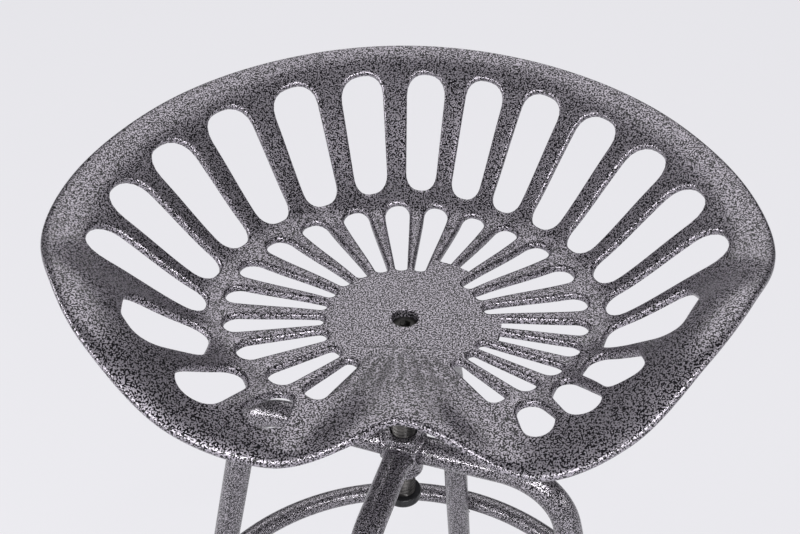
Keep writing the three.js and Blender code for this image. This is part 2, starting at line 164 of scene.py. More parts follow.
hammered = {
    "grain": {"cast": 0.94, "tube": 0.8},  # about half the way from vein to vein
    "curl": 0.35,
    "dark": (0.01, 0.0095, 0.012),
    "silver": {"cast": (0.54, 0.503, 0.567), "tube": (0.56, 0.525, 0.58)},
    "threshold": {"cast": (0.488, 0.53), "tube": (0.51, 0.57)},
    "veinDepth": 0.045,
    "dentSize": 7.0,
    "dentDepth": 0.12,
    "metal": 0.8,
    "roughness": {"cast": (0.16, 0.37), "tube": (0.12, 0.3)},  # dark ground, silver veins
    "coat": 0.2,
    "coatRoughness": 0.22,
    "specular": 0.3,
}

# the crease before the pommel and its faint rays, with painted shade along the crease and
# between the rays
frontShade = {
    "crease": 29.0,  # in front of the screw
    "creaseEnds": (18.0, 36.0),
    "creaseWidth": (0.2, 1.3),
    "creaseShade": 0.5,
    "rays": (32.0, 40.0, 60.0, 84.0),  # in front of the screw: begin, full, fade, gone
    "rayAngle": 9.5,  # degrees from one ray to the next
    "raySpread": (28.0, 42.0),  # degrees either side: full, gone
    "rayShade": 0.5,
    "wanderSize": 9.0,
}


# painted shade: darker paint along the crease before the pommel and in stripes between its rays
def shadeOfFront(shader, place):
    s = frontShade
    x = shader.node("ShaderNodeSeparateXYZ", None, {"Vector": place}, "X")
    forward = 0 - shader.node("ShaderNodeSeparateXYZ", None, {"Vector": place}, "Y")
    line = 1 - abs(forward - s["crease"] * mm).ramp(*[w * mm for w in s["creaseWidth"]])
    along = 1 - abs(x).ramp(*[end * mm for end in s["creaseEnds"]])
    wander = shader.noise(place, s["wanderSize"], 1.0) - 0.5
    angle = x.maths("ARCTAN2", x, forward) + wander * math.radians(s["rayAngle"])
    wave = angle.maths("COSINE", angle * (360 / s["rayAngle"])) * 0.5 + 0.5
    begin, full, fade, gone = [reach * mm for reach in s["rays"]]
    depth = forward.ramp(begin, full) * (1 - forward.ramp(fade, gone))
    spread = 1 - abs(angle).ramp(*[math.radians(a) for a in s["raySpread"]])
    rays = wave * depth * spread * s["rayShade"]
    return (line * along * s["creaseShade"] + rays).clamped()


def hammeredPaint(metal):
    h = hammered
    shader = Shader("hammered paint on " + metal)
    place = shader.place()
    grain = shader.noise(place, h["grain"][metal], 0.0, h["curl"])
    vein = grain.ramp(*h["threshold"][metal])
    dents = shader.noise(place, h["dentSize"], 1.0)
    veined = shader.bump(vein, h["veinDepth"])
    color = shader.mixed(vein, h["dark"], h["silver"][metal])
    # painted shade on the seat along the pommel's crease and between its rays
    if metal == "cast":
        color = shader.mixed(shadeOfFront(shader, place), color, h["dark"])
    ground, veins = h["roughness"][metal]
    return shader.finished({
        "Base Color": color,
        "Metallic": h["metal"] * vein,
        "Roughness": ground + (veins - ground) * vein,
        "Coat Weight": h["coat"],
        "Coat Roughness": h["coatRoughness"],
        "Specular IOR Level": h["specular"],
        "Normal": shader.bump(dents, h["dentDepth"], veined),
    })


blackened = {
    "screw": ((0.018, 0.017, 0.018), (0.05, 0.048, 0.046)),
    "thread": ((0.036, 0.034, 0.034), (0.09, 0.085, 0.083)),
    "smudgeSize": 12.0,
    "smudge": (0.35, 0.7),
    "metal": 0.75,
    "roughness": 0.24,
    "smudgeRoughness": 0.2,
    "tickSize": 1.2,
    "tickDepth": 0.03,
}


def blackSteel(use):
    b = blackened
    shader = Shader("blackened steel " + use)
    place = shader.place()
    smudge = shader.noise(place, b["smudgeSize"], 3.0)
    return shader.finished({
        "Base Color": shader.mixed(smudge.ramp(*b["smudge"]), *b[use]),
        "Metallic": b["metal"],
        "Roughness": b["roughness"] + b["smudgeRoughness"] * smudge,
        "Normal": shader.bump(shader.noise(place, b["tickSize"], 2.0), b["tickDepth"]),
    })


smoothCap = {
    "color": (0.03, 0.03, 0.033),
    "metal": 0.4,
    "roughness": 0.16,
    "smudgeSize": 15.0,
    "smudgeRoughness": 0.12,
    "smudgeDepth": 0.05,
}


def capPlastic():
    shader = Shader("stop cap")
    smudge = shader.noise(shader.place(), smoothCap["smudgeSize"], 2.0)
    return shader.finished({
        "Base Color": smoothCap["color"],
        "Metallic": smoothCap["metal"],
        "Roughness": smoothCap["roughness"] + smoothCap["smudgeRoughness"] * smudge,
        "Normal": shader.bump(smudge, smoothCap["smudgeDepth"]),
    })


dustyRubber = {
    "color": (0.012, 0.012, 0.012),
    "dustColor": (0.055, 0.052, 0.05),
    "dustSize": 20.0,
    "dust": (0.45, 0.75),
    "dustShare": 0.5,
    "roughness": 0.62,
    "dustRoughness": 0.15,
    "poreSize": 0.7,
    "poreDepth": 0.02,
}


def footRubber():
    d = dustyRubber
    shader = Shader("black rubber")
    place = shader.place()
    dust = shader.noise(place, d["dustSize"], 4.0).ramp(*d["dust"])
    return shader.finished({
        "Base Color": shader.mixed(dust * d["dustShare"], d["color"], d["dustColor"]),
        "Roughness": d["roughness"] + d["dustRoughness"] * dust,
        "Normal": shader.bump(shader.noise(place, d["poreSize"], 1.0), d["poreDepth"]),
    })


paint = hammeredPaint("cast")
tubePaint = hammeredPaint("tube")
steel = blackSteel("screw")
threadSteel = blackSteel("thread")
plastic = capPlastic()
rubber = footRubber()
print("materials made")


def addPiece(name, points, faces, material, body, slot, stands=()):
    mesh = bpy.data.meshes.new(name)
    mesh.from_pydata([Vector(p) * mm for p in points], [], faces)
    mesh.polygons.foreach_set("use_smooth", [True] * len(mesh.polygons))
    mesh.validate()
    mesh.update()
    mesh.materials.append(material)
    piece = bpy.data.objects.new(name, mesh)
    bpy.context.scene.collection.objects.link(piece)
    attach(piece, body)
    if stands:
        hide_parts(*stands)


# a polygon with its corners rounded, one radius each
def roundedOutline(corners, radii, steps=5):
    outline = []
    for i, corner in enumerate(corners):
        back = corners[i - 1] - corner
        ahead = corners[(i + 1) % len(corners)] - corner
        room = min(back.length, ahead.length) / 2
        back.normalize()
        ahead.normalize()
        half = back.angle(ahead) / 2
        radius = min(radii[i], room * math.tan(half))
        if radius <= 0:
            outline.append(corner.copy())
            continue
        centre = corner + (back + ahead).normalized() * radius / math.sin(half)
        start = corner + back * radius / math.tan(half) - centre
        end = corner + ahead * radius / math.tan(half) - centre
        sweep = math.atan2(start.x * end.y - start.y * end.x, start.dot(end))
        for step in range(steps + 1):
            c, s = math.cos(sweep * step / steps), math.sin(sweep * step / steps)
            turned = Vector((start.x * c - start.y * s, start.x * s + start.y * c))
            outline.append(centre + turned)
    return outline


# a loop of points with no gap longer than spacing
def evened(loop, spacing):
    made = []
    for i, point in enumerate(loop):
        ahead = loop[(i + 1) % len(loop)]
        count = max(1, math.ceil((ahead - point).length / spacing))
        made += [point.lerp(ahead, k / count) for k in range(count)]
    return made


# a closed loop with its corners eased
def softened(loop, rounds):
    for _ in range(rounds):
        ahead = loop[1:] + loop[:1]
        loop = [(loop[i - 1] + 2 * p + ahead[i]) / 4 for i, p in enumerate(loop)]
    return loop


# a closed loop of (radius, height) turned round Z; a radius may change with the angle
def turnedRing(profile, sides):
    points, faces = [], []
    for radius, height in profile:
        for i in range(sides):
            angle = 2 * math.pi * i / sides
            reach = radius(angle) if callable(radius) else radius
            points.append((reach * math.cos(angle), reach * math.sin(angle), height))
    for row in range(len(profile)):
        near, far = row * sides, (row + 1) % len(profile) * sides
        for i in range(sides):
            j = (i + 1) % sides
            faces.append((near + i, near + j, far + j, far + i))
    return points, faces


# an open profile turned the same way, its ends closed on the axis
def turnedSolid(profile, sides):
    points, faces = turnedRing(profile, sides)
    faces = faces[: (len(profile) - 1) * sides]
    points += [(0, 0, profile[0][1]), (0, 0, profile[-1][1])]
    low, last = len(points) - 2, (len(profile) - 1) * sides
    for i in range(sides):
        j = (i + 1) % sides
        faces.append((low, j, i))
        faces.append((low + 1, last + i, last + j))
    return points, faces


# a round tube along a path; the radius may change from place to place
def swept(path, radius, sides, closed=False):
    count = len(path)
    points, faces = [], []
    across = None
    for k, place in enumerate(path):
        before = path[k - 1] if closed or k else place
        after = path[(k + 1) % count] if closed or k < count - 1 else place
        ahead = (after - before).normalized()
        if across is None:
            across = ahead.orthogonal()
        across = (across - ahead * across.dot(ahead)).normalized()
        lift = ahead.cross(across)
        reach = radius[k] if isinstance(radius, list) else radius
        for i in range(sides):
            angle = 2 * math.pi * i / sides
            points.append(place + (across * math.cos(angle) + lift * math.sin(angle)) * reach)
    for k in range(count if closed else count - 1):
        near, far = k * sides, (k + 1) % count * sides
        twist = 0
        if closed and k == count - 1:
            twist = min(range(sides), key=lambda t: (points[near] - points[t]).length)
        for i in range(sides):
            j = (i + 1) % sides
            farJ, farI = far + (j + twist) % sides, far + (i + twist) % sides
            faces.append((near + i, near + j, farJ, farI))
    if not closed:
        faces.append(tuple(reversed(range(sides))))
        faces.append(tuple((count - 1) * sides + i for i in range(sides)))
    return points, faces


pan = {
    "discRadius": 55.0,
    "thickness": 5.2,
    "holeRound": 2.3,
    "webRound": 0.045,  # the most that a hole's edge is rounded, times its reach
    "lowerRound": 0.8,
    "rimRound": 2.4,
    "rimInset": 0.15,
    # the rim's radius, with its shares every 15 degrees from the back to the pommel
    "back": 219.0,
    "half": 223.5,
    "lobe": 137.0,
    "pommel": 102.5,
    "backRim": [1, 1.022, 1.052],
    "sideRim": [1.042, 1.034, 1.022, 1],
    "leftRim": [0.948, 0.904],
    "rightRim": [0.933, 0.879],
    "leftLobe": [1.332, 1.117, 0.924],
    "rightLobe": [1.328, 1.151, 0.861],
    # the rim's height over the disc, in the same way
    "backRise": 81.0,
    "sideRise": 64.0,
    "lobeRise": 3.0,
    "backRises": [1, 0.96, 0.89],
    "sideRises": [1.053, 1, 0.972, 0.97, 1.07, 0.914, 0.39],
    "lobeRises": [1, 0.73, 0],
    # the hollow before the wall, and where the wall starts, every 15 degrees
    "dipDepth": 3.5,
    "wallStarts": [0.35, 0.36, 0.37, 0.37, 0.365, 0.355, 0.34, 0.32, 0.29, 0.25, 0.19, 0.1, 0],
    "dips": [0.8, 0.94, 1, 1, 0.9, 0.68, 0.45, 0.15, -0.14, -0.21, -0.2, -0.14, 0],
    "dipRun": 0.35,
    "lipDrop": 4.5,
    "lipRoll": 14.0,
    "lipFrom": 100.0,  # degrees from the back
    "lipSpan": 35.0,
    "pommelRise": 9.1,
    "pommelFan": 30.0,  # degrees either side
    "creaseSoftness": 2.0,
    "fluteDepth": 0.28,
    "fluteRise": 6.0,
    "fluteFade": 30.0,
    "fluteEnd": 82.0,
    "spacing": 3.4,  # between the mesh's own points
    "rowSpacing": 0.866,  # from row to row, times the spacing
    "edgeRoom": 0.6,  # kept free along an edge, times the spacing
    "edgeSpacing": 2.2,
    "edgeSteps": 5,
    "slopeStep": 1.0,
}

pierced = {
    "inner": [
        -145.2, -129.3, -110.4, -94.1, -78.3, -63.9, -48.4, -33.7, -18.8, -4.8,
        8.3, 21.1, 33.2, 46.7, 61.4, 77, 90.7, 103, 115.7, 128.4, 141.5,
    ],
    "innerWidth": 0.61,
    "innerStart": 52.0,
    "innerEnd": 128.0,
    "shortening": 34.0,
    "shorteningFrom": 40.0,
    "shorteningSpan": 105.0,
    "outer": [-86.9, -72, -56.8, -41.6, -26.6, -12, 2.3, 15.2, 27.5, 40.3, 54, 68.5, 82.9],
    "outerWidth": 0.63,
    "outerWidening": 0.09,
    "web": 8.5,
    "webWidening": 2.0,
    "rimBand": 23.0,
    "rimBandWidening": 2.7,
    "startRound": 0.45,
    "endRound": 0.4,
    "easing": 5,
    # side, corner radius, and each corner's degrees from the back and share of the rim
    "front": [
        (-1, 12, [(96, 0.545), (101.5, 0.79), (112, 0.837), (120, 0.837), (116, 0.64)]),
        (-1, 13, [(117, 0.54), (125, 0.79), (130, 0.856), (135.5, 0.83), (130, 0.61)]),
        (-1, 9, [(135.5, 0.58), (137.5, 0.755), (144, 0.845), (148, 0.78), (141, 0.57)]),
        (1, 8, [(91.2, 0.575), (92, 0.78), (100, 0.83), (114, 0.842), (102.5, 0.585)]),
        (1, 6, [(105, 0.575), (114.5, 0.747), (122.7, 0.844), (127, 0.775), (117, 0.595)]),
        (1, 12, [(116.5, 0.54), (126, 0.7), (130, 0.82), (136.3, 0.787), (129.7, 0.606)]),
        (1, 8.5, [(133, 0.58), (137, 0.73), (141.7, 0.81), (146.5, 0.79), (141, 0.61)]),
    ],
}


def clamp(value, low=0.0, high=1.0):
    return min(high, max(low, value))


def smoothRamp(share):
    s = clamp(share)
    return s * s * (3 - 2 * s)


# values given every 15 degrees from the back to the front
def sampled(values, azimuth):
    last = len(values) - 1
    place = abs(azimuth) / math.pi * last
    cell = min(int(place), last - 1)
    t = place - cell

    def at(i):
        return values[-i if i < 0 else 2 * last - i if i > last else i]

    nearSlope = (at(cell + 1) - at(cell - 1)) / 2
    farSlope = (at(cell + 2) - at(cell)) / 2
    base = at(cell) + (at(cell + 1) - at(cell)) * t * t * (3 - 2 * t)
    return base + nearSlope * t * (1 - t) ** 2 - farSlope * t * t * (1 - t)


def times(shares, size):
    return [share * size for share in shares]


def rimSide(front, lobe):
    side = times(pan["backRim"], pan["back"]) + times(pan["sideRim"] + front, pan["half"])
    return side + times(lobe, pan["lobe"]) + [pan["pommel"]]


rims = {
    -1: rimSide(pan["leftRim"], pan["leftLobe"]),
    1: rimSide(pan["rightRim"], pan["rightLobe"]),
}
rises = times(pan["backRises"], pan["backRise"]) + times(pan["sideRises"], pan["sideRise"])
rises += times(pan["lobeRises"], pan["lobeRise"])


def rimRadius(azimuth):
    return sampled(rims[-1 if azimuth < 0 else 1], azimuth)


def panHeight(x, y):
    radius = math.hypot(x, y)
    azimuth = math.atan2(x, y)
    rim = rimRadius(azimuth)
    share = clamp((radius - pan["discRadius"]) / (rim - pan["discRadius"]))
    start = sampled(pan["wallStarts"], azimuth)
    height = sampled(rises, azimuth) * smoothRamp((share - start) / (1 - start))
    dip = pan["dipDepth"] * sampled(pan["dips"], azimuth)
    height -= dip * math.sin(math.pi * min(1, share / (start + pan["dipRun"]))) ** 2
    turn = math.degrees(abs(azimuth))
    fan = smoothRamp((turn - 180 + pan["pommelFan"]) / pan["pommelFan"])
    forward = smoothRamp((turn - pan["lipFrom"]) / pan["lipSpan"]) * (1 - fan)
    height -= pan["lipDrop"] * forward * clamp(1 - (rim - radius) / pan["lipRoll"]) ** 2
    if radius > frontShade["crease"]:
        past = -y - frontShade["crease"]
        climb = (past + math.hypot(past, 2 * pan["creaseSoftness"])) / 2
        height += pan["pommelRise"] * fan * climb / (pan["pommel"] - frontShade["crease"])
        fade = smoothRamp((pan["fluteEnd"] - radius) / pan["fluteFade"])
        fade *= smoothRamp(past / pan["fluteRise"])
        flute = math.cos(2 * math.pi * math.degrees(azimuth) / frontShade["rayAngle"])
        height += pan["fluteDepth"] * (fade * fan) * flute
    return height


def panPoint(x, y, depth):
    step = pan["slopeStep"]
    alongX = (panHeight(x + step, y) - panHeight(x - step, y)) / (2 * step)
    alongY = (panHeight(x, y + step) - panHeight(x, y - step)) / (2 * step)
    normal = Vector((-alongX, -alongY, 1)).normalized()
    return Vector((x, y, panHeight(x, y))) - normal * depth


def planPoint(angle, radius):
    turn = math.radians(angle)
    return Vector((radius * math.sin(turn), radius * math.cos(turn)))


def slotOutline(angle, half, start, end):
    corners = [
        planPoint(angle - half, start), planPoint(angle + half, start),
        planPoint(angle + half, end), planPoint(angle - half, end),
    ]
    near = 2 * math.radians(half) * start * pierced["startRound"]
    far = 2 * math.radians(half) * end * pierced["endRound"]
    return roundedOutline(corners, [near, near, far, far])


def innerEnd(angle):
    share = clamp((abs(angle) - pierced["shorteningFrom"]) / pierced["shorteningSpan"])
    return pierced["innerEnd"] - pierced["shortening"] * share**1.5


def halfAngle(angles, i, share):
    low, high = max(0, i - 1), min(len(angles) - 1, i + 1)
    return share * (angles[high] - angles[low]) / (high - low) / 2


def openingOutlines():
    made = []
    for i, angle in enumerate(pierced["inner"]):
        half = halfAngle(pierced["inner"], i, pierced["innerWidth"])
        made.append(slotOutline(angle, half, pierced["innerStart"], innerEnd(angle)))
    for i, angle in enumerate(pierced["outer"]):
        sideways = abs(math.sin(math.radians(angle)))
        share = pierced["outerWidth"] + pierced["outerWidening"] * sideways**2
        half = halfAngle(pierced["outer"], i, share)
        start = innerEnd(angle) + pierced["web"] + pierced["webWidening"] * sideways
        end = rimRadius(math.radians(angle)) - pierced["rimBand"]
        end -= pierced["rimBandWidening"] * sideways
        made.append(slotOutline(angle, half, start, end))
    for side, radius, places in pierced["front"]:
        outline = []
        for turn, share in places:
            reach = share * rimRadius(side * math.radians(turn))
            outline.append(planPoint(side * turn, reach))
        outline = evened(roundedOutline(outline, [radius] * len(outline)), pan["edgeSpacing"])
        made.append(softened(outline, pierced["easing"]))
    return made


# a loop turned to run so that the metal is on its right, with a normal into the metal
def edgeLoop(outline, metalOutside):
    loop = evened(outline, pan["edgeSpacing"])
    area = sum(loop[i - 1].x * p.y - loop[i - 1].y * p.x for i, p in enumerate(loop))
    if (area > 0) != metalOutside:
        loop.reverse()
    normals = []
    for i, point in enumerate(loop):
        along = loop[(i + 1) % len(loop)] - loop[i - 1]
        normals.append(Vector((along.y, -along.x)).normalized())
    return loop, normals


screwSeat = {
    "boreRadius": 8.6,
    "boreDepth": 10.4,
    "boreRound": 0.45,
    "holeRadius": 5.3,
    "holeRound": 0.4,
    "bossRadius": 32.0,
    "bossDepth": 14.0,
    "bossDraft": 2.0,
    "bossRound": 1.5,
}


def circle(radius, count):
    return [planPoint(360 * i / count, radius) for i in range(count)]


# each edge in plan: its loop, its normals, and the most that it is rounded above
def seatEdges():
    rim = []
    for angle in range(-180, 180):
        rim.append(planPoint(angle, rimRadius(math.radians(angle)) - pan["rimInset"]))
    loops = [(*edgeLoop(rim, False), pan["rimRound"])]
    loops += [(*edgeLoop(outline, True), pan["holeRound"]) for outline in openingOutlines()]
    bore = circle(screwSeat["boreRadius"], 40)
    loops.append((*edgeLoop(bore, True), screwSeat["boreRound"]))
    return loops


def roundingAt(point, most):
    return min(most, max(pan["webRound"] * point.length, screwSeat["boreRound"]))


# one rounded edge with its wall, from a row of the top face to the bottom face
def edgeWall(points, faces, edge, top, bottom):
    loop, normals, most = edge
    bends = [math.pi / 2 * k / pan["edgeSteps"] for k in range(pan["edgeSteps"] + 1)]
    wall = [(1 - math.sin(a), 1 - math.cos(a), True) for a in bends[1:]]
    wall += [(1 - math.sin(a), 1 - math.cos(a), False) for a in reversed(bends)]
    rows = [top]
    for across, down, isUpper in wall:
        rows.append(list(range(len(points), len(points) + len(loop))))
        for point, normal in zip(loop, normals):
            rounding = roundingAt(point, most) if isUpper else pan["lowerRound"]
            base = point + normal * across * rounding
            depth = down * rounding if isUpper else pan["thickness"] - down * rounding
            points.append(panPoint(base.x, base.y, depth))
    rows.append(bottom)
    for near, far in zip(rows, rows[1:]):
        for i in range(len(loop)):
            j = (i + 1) % len(loop)
            faces.append((near[i], near[j], far[j], far[i]))


def seatSkin():
    loops = seatEdges()
    plan, edges, owners = [], [], []
    for number, (loop, normals, most) in enumerate(loops):
        first = len(plan)
        rounded = [roundingAt(point, most) for point in loop]
        plan += [p + normal * inward for p, normal, inward in zip(loop, normals, rounded)]
        edges += [(first + i, first + (i + 1) % len(loop)) for i in range(len(loop))]
        owners += [(number, i) for i in range(len(loop))]
    tree = KDTree(len(plan))
    for i, point in enumerate(plan):
        tree.insert((point.x, point.y, 0), i)
    tree.balance()

    def inMetal(point, room):
        near, index, distance = tree.find((point.x, point.y, 0))
        number, i = owners[index]
        away = point - Vector((near.x, near.y))
        return distance >= room and away.dot(loops[number][1][i]) > 0

    spacing = pan["spacing"]
    reach = max(rims[1]) + spacing
    edgeCount = len(plan)
    cells = range(-80, 81)  # past the rim either way
    for row in cells:
        for column in cells:
            across = (column + row % 2 / 2) * spacing
            point = Vector((across, row * spacing * pan["rowSpacing"]))
            if point.length < reach and inMetal(point, pan["edgeRoom"] * spacing):
                plan.append(point)
    places, _, triangles, origins, _, _ = delaunay_2d_cdt(plan, edges, [], 0, 1e-4)
    madeFrom = {source: made for made, sources in enumerate(origins) for source in sources}

    points = [panPoint(p.x, p.y, 0) for p in places]
    under = len(points)
    points += [panPoint(p.x, p.y, pan["thickness"]) for p in places]
    faces = []
    onEdge = {madeFrom[i] for i in range(edgeCount)}
    for triangle in triangles:
        centre = sum((places[i] for i in triangle), Vector((0, 0))) / 3
        if all(i in onEdge for i in triangle) and not inMetal(centre, 0):
            continue
        faces.append(tuple(triangle))
        faces.append(tuple(under + i for i in reversed(triangle)))
    first = 0
    for edge in loops:
        top = [madeFrom[first + i] for i in range(len(edge[0]))]
        edgeWall(points, faces, edge, top, [under + i for i in top])
        first += len(top)
    return points, faces


def joined(*parts):
    points, faces = [], []
    for morePoints, moreFaces in parts:
        first = len(points)
        points += list(morePoints)
        faces += [tuple(first + i for i in face) for face in moreFaces]
    return points, faces


def raised(part, height):
    points, faces = part
    return [Vector(p) + Vector((0, 0, height)) for p in points], faces


def corners(*pairs):
    return [Vector(pair) for pair in pairs]


# a ring round Z; its four corners' roundings start with the lower one in the bore
def collar(bore, outside, low, high, rounds, sides):
    profile = corners((bore, low), (outside, low), (outside, high), (bore, high))
    return turnedRing(roundedOutline(profile, rounds), sides)


def seatBoss():
    s = screwSeat
    top, floor, foot = -pan["thickness"] / 2, -s["boreDepth"], -s["bossDepth"]
    profile = corners(
        (s["boreRadius"], top), (s["boreRadius"], floor), (s["holeRadius"], floor),
        (s["holeRadius"], foot), (s["bossRadius"] - s["bossDraft"], foot),
        (s["bossRadius"], top),
    )
    rounds = [0, 0, s["holeRound"], s["holeRound"], s["bossRound"], 0]
    return turnedRing(roundedOutline(profile, rounds), 96)


seat = joined(seatSkin(), seatBoss())
addPiece("cast_seat", *raised(seat, discTop), paint, "seat", "seat_paint", ["seat"])
print("seat made,", len(seat[0]), "points")

socketScrew = {
    "headRadius": 8.0,
    "headHeight": 4.0,
    "round": 1.0,
    "underRound": 0.2,
    "flatShare": 0.66,  # from the axis to the flat top's inner edge, times hexAcross
    "hexAcross": 6.0,
    "hexDepth": 3.0,
    "hexBevel": 0.4,
    "shortening": 1.0,
}


# the radius of a hexagon with this size across its flats, at any angle
def hexReach(size):
    def reach(angle):
        off = (angle + math.pi / 6) % (math.pi / 3) - math.pi / 6
        return size / 2 / math.cos(off)
    return reach


def seatScrew():
    s = socketScrew
    top = screwHigh.z
    under = top - s["headHeight"]
    shank = screwSeat["holeRadius"] - gap
    head = corners(
        (shank, under), (s["headRadius"], under), (s["headRadius"], top),
        (s["hexAcross"] * s["flatShare"], top),
    )
    head = roundedOutline(head, [0, s["underRound"], s["round"], 0])
    profile = [(shank, screwLow.z + s["shortening"])] + head
    profile += [
        (hexReach(s["hexAcross"] + 2 * s["hexBevel"]), top),
        (hexReach(s["hexAcross"]), top - s["hexBevel"]),
        (hexReach(s["hexAcross"]), top - s["hexDepth"]),
    ]
    return turnedSolid(profile, 72)


addPiece("socket_screw", *seatScrew(), steel, "seat", "black_steel", ["seat_screw"])

for place in frame["nodes"]["seat_washer"].material_slots:
    place.material = steel

flange = {"bore": 5.3, "round": 1.2}


def seatFlange():
    rounds = [0, flange["round"], flange["round"], 0]
    return collar(flange["bore"], flangeHigh.x, flangeLow.z, flangeHigh.z, rounds, 72)


addPiece("spindle_flange", *seatFlange(), tubePaint, "seat", "frame_paint", ["seat_flange"])

thread = {
    "pitch": 3.0,
    "depth": 1.5,
    "spigotRadius": 5.5,
    "flank": [  # share of the pitch, share of the depth
        (0.0, 1.0), (0.16, 1.0), (0.24, 0.96), (0.5, 0.05),
        (0.58, 0.0), (0.72, 0.0), (0.8, 0.05), (0.96, 0.92),
    ],
    "sides": 40,
}


# the crest and root of a right-hand thread, as one skin wound round the bar
def threadedBar(outer, bottom, top):
    t = thread
    turns = math.ceil((top - bottom) / t["pitch"]) + 1
    rows = [(turn + share, height) for turn in range(-1, turns) for share, height in t["flank"]]
    points, faces = [], []
    for share, height in rows:
        for i in range(t["sides"]):
            angle = 2 * math.pi * i / t["sides"]
            z = bottom + t["pitch"] * (share + i / t["sides"])
            reach = outer - t["depth"] * (1 - height)
            x, y = reach * math.cos(angle), reach * math.sin(angle)
            points.append((x, y, clamp(z, bottom, top)))
    count, lap = len(rows), len(t["flank"])
    for row in range(count - 1):
        for i in range(t["sides"]):
            j = (i + 1) % t["sides"]
            skip = lap if j == 0 else 0
            if row + 1 + skip >= count:
                continue
            a, b = row * t["sides"], (row + skip) * t["sides"]
            faces.append((a + i, b + j, b + t["sides"] + j, a + t["sides"] + i))
    return points, faces


def spindle():
    shoulder, top = stopHigh.z + gap, spindleHigh.z
    spigot, root = thread["spigotRadius"], spindleHigh.x - thread["depth"]
    core = corners((spigot, spindleLow.z), (spigot, shoulder))
    core += [(root, shoulder), (root, top)]
    winding = threadedBar(spindleHigh.x, shoulder, top)
    return joined(winding, turnedSolid(core, thread["sides"]))


addPiece("threaded_spindle", *spindle(), threadSteel, "seat", "black_steel", ["spindle"])

cap = {"lowerRound": 2.2, "upperRound": 1.2, "boreRound": 0.3}


def stopCap():
    bore = thread["spigotRadius"] + gap
    rounds = [cap["boreRound"], cap["lowerRound"], cap["upperRound"], cap["boreRound"]]
    return collar(bore, stopHigh.x, stopLow.z, stopHigh.z, rounds, 64)


addPiece("stop_cap", *stopCap(), plastic, "lift", "black_rubber", ["stop_washer"])

stopScrew = {"headHeight": 4.0, "shank": 3.0, "round": 2.4, "underRound": 0.3, "flat": 0.5}


def capScrew():
    s = stopScrew
    low, outside = stopScrewLow.z, stopScrewHigh.x
    under = low + s["headHeight"]
    head = corners((s["flat"], low), (outside, low), (outside, under), (s["shank"], under))
    head = roundedOutline(head, [0, s["round"], s["underRound"], 0])
    return turnedSolid(head + [(s["shank"], stopScrewHigh.z)], 48)


addPiece("cap_screw", *capScrew(), steel, "seat", "black_steel", ["stop_screw"])
print("spindle and its fastenings made")

hub = {"bore": 9.05, "round": 1.2, "boreRound": 0.8}
leg = {
    "radius": 9.8,
    "start": 11.0,  # inside the hub's wall
    "run": 70.0,
    "bendRadius": 50.0,
    "belowHubTop": 15.5,
    "end": 7.2,
    "sides": 40,
    "runSteps": 6,
    "bendSteps": 24,
    "straightSteps": 16,
    # degrees that each leg stands off its quarter
    "turn": {"front": 14.0, "left": 17.4, "back": 15.8, "right": 15.8},
    "runShare": {"front": 1.0, "left": 1.086, "back": 1.0, "right": 0.99},
    "tighter": {"left": 12.0},  # a smaller bend between the same straights
}
ring = {"tube": 8.0, "steps": 144, "sides": 32}


def hubTube():
    rounds = [hub["boreRound"], hub["round"], hub["round"], hub["boreRound"]]
    return collar(hub["bore"], hubHigh.x, hubLow.z, hubHigh.z, rounds, 72)


addPiece("threaded_hub", *hubTube(), tubePaint, "base", "frame_paint", ["hub"])

legHeight = hubHigh.z - leg["belowHubTop"]
ringRadius = ringHigh.x - ring["tube"]
ringMiddle = (ringLow.z + ringHigh.z) / 2


# a leg's bend, leaning so that the straight below it passes just inside the ring
class Bend:
    def __init__(self, place):
        run = leg["run"] * leg["runShare"][place]
        self.middle = Vector((run, legHeight - leg["bendRadius"]))
        toRing = Vector((ringRadius, ringMiddle)) - self.middle
        apart = leg["bendRadius"] + leg["radius"] + gap + ring["tube"]
        self.splay = math.atan2(toRing.y, toRing.x) + math.acos(apart / toRing.length)
        self.turn = math.pi / 2 - self.splay
        tighter = leg["tighter"].get(place, 0)
        self.radius = leg["bendRadius"] - tighter
        outward = (1 - math.sin(self.splay)) / math.cos(self.splay)
        self.middle += tighter * Vector((outward, 1))

    def place(self, turn):
        return self.middle + self.radius * Vector((math.sin(turn), math.cos(turn)))

    def reach(self, height):
        end = self.place(self.turn)
        return end.x + (end.y - height) * math.tan(self.splay)

    def path(self):
        start, steps = leg["start"], leg["runSteps"]
        run = self.middle.x - start
        places = [Vector((start + run * k / steps, legHeight)) for k in range(steps)]
        steps = leg["bendSteps"]
        places += [self.place(self.turn * k / steps) for k in range(steps + 1)]
        low, end = places[-1].y, leg["end"] * math.cos(self.splay)
        steps = leg["straightSteps"]
        heights = [low + (end - low) * k / steps for k in range(1, steps + 1)]
        places += [Vector((self.reach(height), height)) for height in heights]
        return [Vector((place.x, 0, place.y)) for place in places]


bead = {
    "radius": 1.9,
    "ripple": 0.35,
    "rippleLength": 1.6,
    "hubOffset": 0.4,  # from the tubes' skins to the bead's middle
    "hubHalf": 9.9,
    "ringLength": 17.0,
    "ringLift": 5.2,  # above and below the ring's middle
    "ringInset": 0.6,
    "ringCurve": 60.0,
    "ringShare": 1.15,  # of the radius
    "ringTip": 0.02,
}


def rippled(path, radius, seed):
    made = []
    for place in path:
        spot = place / bead["rippleLength"] + Vector((seed, 0, 0))
        made.append(radius + bead["ripple"] * noise.noise(spot))
    return made


# bead round a leg where it meets the hub
def hubBead(seed):
    reach = leg["radius"] + bead["hubOffset"]
    steps = 72
    path = []
    for i in range(steps):
        angle = 2 * math.pi * i / steps
        side = clamp(reach * math.cos(angle), -bead["hubHalf"], bead["hubHalf"])
        out = math.sqrt(hubHigh.x**2 - side**2) + bead["hubOffset"]
        path.append(Vector((out, side, legHeight + reach * math.sin(angle))))
    return swept(path, rippled(path, bead["radius"], seed), 12, True)


